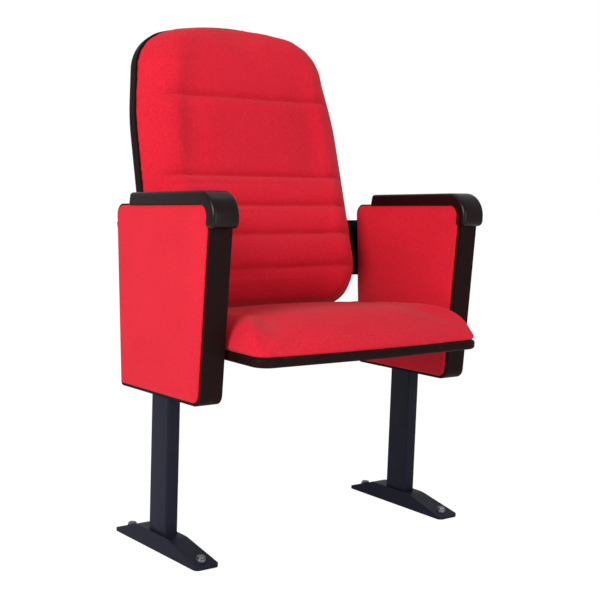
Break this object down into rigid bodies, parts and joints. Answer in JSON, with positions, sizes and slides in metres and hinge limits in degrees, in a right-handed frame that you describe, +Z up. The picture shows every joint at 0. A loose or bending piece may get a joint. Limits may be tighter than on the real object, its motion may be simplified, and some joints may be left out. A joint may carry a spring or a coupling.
{
  "type": "tip-up auditorium seat",
  "caption": "Upholstered auditorium seat on two floor-standing legs, with a tip-up cushion, a high reclined back and closed arm panels with black armrest caps.",
  "frame": {"origin": "on the floor, in the middle of the four floor-bolt holes", "axes": "+Z up, the sitter faces -Y, X across the chair with the seat's mirror plane at X = 0"},
  "size_m": [0.635, 0.5383, 0.9696],
  "materials": {
    "black_paint": "satin powder coat",
    "black_plastic": "satin moulded",
    "black_cap": "satin integral-skin foam",
    "red_fabric": "fine woven cloth",
    "plywood": "raw",
    "zinc_steel": "zinc plated",
    "spring_steel": "oiled",
    "nylon": "natural"
  },
  "bodies": {
    "stand": {"foot_right": "black_paint", "foot_left": "black_paint", "leg_right": "black_paint", "leg_left": "black_paint", "arm_frame_right": "black_plastic", "arm_frame_left": "black_plastic", "outer_board_right": "plywood", "outer_board_left": "plywood", "outer_pad_right": "red_fabric", "outer_pad_left": "red_fabric", "inner_board_right": "plywood", "inner_board_left": "plywood", "inner_pad_right": "red_fabric", "inner_pad_left": "red_fabric", "arm_cap_right": "black_cap", "arm_cap_left": "black_cap", "back_bracket_right": "black_paint", "back_bracket_left": "black_paint", "pivot_pin_right": "zinc_steel", "pivot_pin_left": "zinc_steel", "pivot_spacer_right": "nylon", "pivot_spacer_left": "nylon", "stop_collar_right": "zinc_steel", "stop_collar_left": "zinc_steel", "return_spring_right": "spring_steel", "return_spring_left": "spring_steel", "board_pegs": "nylon", "upright_screws": "zinc_steel", "cap_screws": "zinc_steel", "bracket_bolts": "zinc_steel", "pivot_fixings": "zinc_steel", "back_shell": "black_plastic", "back_board": "plywood", "back_screws": "zinc_steel", "back_cushion": "red_fabric"},
    "seat": {"seat_hinge_right": "zinc_steel", "seat_hinge_left": "zinc_steel", "hinge_bush_right": "nylon", "hinge_bush_left": "nylon", "hinge_screws": "zinc_steel", "seat_pan": "black_plastic", "seat_board": "plywood", "seat_cushion": "red_fabric", "seat_screws": "zinc_steel"}
  },
  "joints": [
    {"name": "seat_tip_up", "type": "hinge", "parent": "stand", "child": "seat", "pos_m": [0, -0.002, 0.36], "axis": [-1, 0, 0], "range_deg": [0, 74], "stiffness_Nm_per_rad": 0.4, "springref_deg": 171.89}
  ]
}
